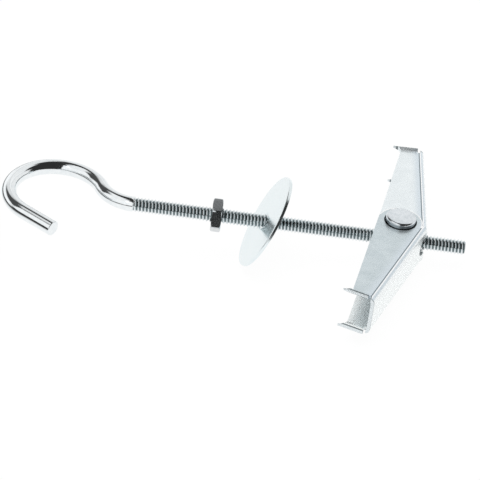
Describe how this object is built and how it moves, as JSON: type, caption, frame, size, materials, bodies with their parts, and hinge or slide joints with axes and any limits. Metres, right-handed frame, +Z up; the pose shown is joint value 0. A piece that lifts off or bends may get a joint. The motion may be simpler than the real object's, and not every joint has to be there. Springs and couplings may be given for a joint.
{
  "type": "spring toggle bolt",
  "caption": "Screw hook on a threaded shank with a hex nut, a wide washer and a pair of sprung wings that fold back along the shank to pass a hole and open behind it.",
  "frame": {"origin": "middle of the plan of the whole part, on the surface that it lies on", "axes": "+X runs along the screw to its tail, within the plan, and +Z is up from the surface on which the part lies, within 6 degrees of the wings' pivot axis; +Y runs along the wing that lies further from the hook's tip"},
  "size_m": [0.1436, 0.0868, 0.0267],
  "materials": {
    "zinc_wire": "bright zinc plate on drawn and thread-rolled steel wire",
    "zinc_nut": "bright zinc plate on a cold-formed nut",
    "zinc_washer": "bright zinc plate on a stamped washer",
    "zinc_trunnion": "satin zinc plate on a turned pin",
    "zinc_wing": "satin zinc plate on pressed sheet steel",
    "spring_wire": "zinc plate on spring wire"
  },
  "bodies": {
    "bolt": {"hook_bolt": "zinc_wire"},
    "nut": {"hex_nut": "zinc_nut"},
    "washer": {"washer": "zinc_washer"},
    "toggle": {"trunnion_nut": "zinc_trunnion", "upper_spring": "spring_wire", "lower_spring": "spring_wire"},
    "near_wing": {"near_wing": "zinc_wing"},
    "far_wing": {"far_wing": "zinc_wing"}
  },
  "joints": [
    {"name": "nut_run", "type": "slide", "parent": "bolt", "child": "nut", "axis": [-0.9945, 0, 0.1047], "range_m": [-0.0025, 0.024]},
    {"name": "toggle_run", "type": "slide", "parent": "bolt", "child": "toggle", "axis": [0.9945, 0, -0.1047], "range_m": [0, 0.014]},
    {"name": "washer_slide", "type": "slide", "parent": "bolt", "child": "washer", "axis": [-0.9945, 0, 0.1047], "range_m": [0, 0.0072]},
    {"name": "far_wing_fold", "type": "hinge", "parent": "toggle", "child": "far_wing", "pos_m": [0.05069, -0.00011, 0.00907], "axis": [0.1047, 0.019, 0.9943], "range_deg": [0, 84], "stiffness_Nm_per_rad": 0.02, "springref_deg": -34.38, "deforming": ["upper_spring", "lower_spring"]},
    {"name": "near_wing_fold", "type": "hinge", "parent": "toggle", "child": "near_wing", "pos_m": [0.05069, -0.00011, 0.00907], "axis": [-0.1047, -0.019, -0.9943], "range_deg": [0, 66.2], "stiffness_Nm_per_rad": 0.02, "springref_deg": -34.38}
  ],
  "couplings": [
    {"joint": "near_wing_fold", "follows": "far_wing_fold", "ratio": 0.78721},
    {"joint": "washer_slide", "follows": "far_wing_fold", "m_per_rad": 0.0047747}
  ]
}
